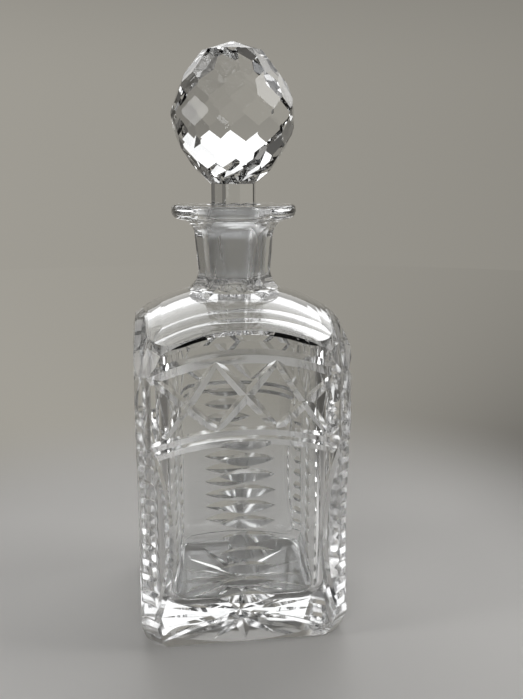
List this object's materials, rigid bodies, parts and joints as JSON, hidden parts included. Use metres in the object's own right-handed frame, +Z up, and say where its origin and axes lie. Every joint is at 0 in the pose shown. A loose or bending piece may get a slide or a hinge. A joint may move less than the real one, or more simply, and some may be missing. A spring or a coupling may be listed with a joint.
{
  "type": "cut crystal decanter",
  "caption": "Square cut crystal spirit decanter with arched grooves, a row of crosses, a ladder of lens cuts and a faceted ball stopper.",
  "frame": {"origin": "centre of the base, on the surface the decanter stands on", "axes": "+Z up along the neck and stopper; -Y out of the front face, and the four faces lie across X and Y"},
  "size_m": [0.09, 0.09, 0.2526],
  "materials": {
    "body_crystal": "clear polished cut lead crystal, with a ground socket in the neck",
    "stopper_crystal": "clear polished cut lead crystal, with a frosted ground plug"
  },
  "bodies": {
    "decanter": {"decanter_body": "body_crystal"},
    "stopper": {"stopper": "stopper_crystal"}
  },
  "joints": [
    {"name": "stopper_lift", "type": "slide", "parent": "decanter", "child": "stopper", "axis": [0, 0, 1], "range_m": [0, 0.08]}
  ]
}
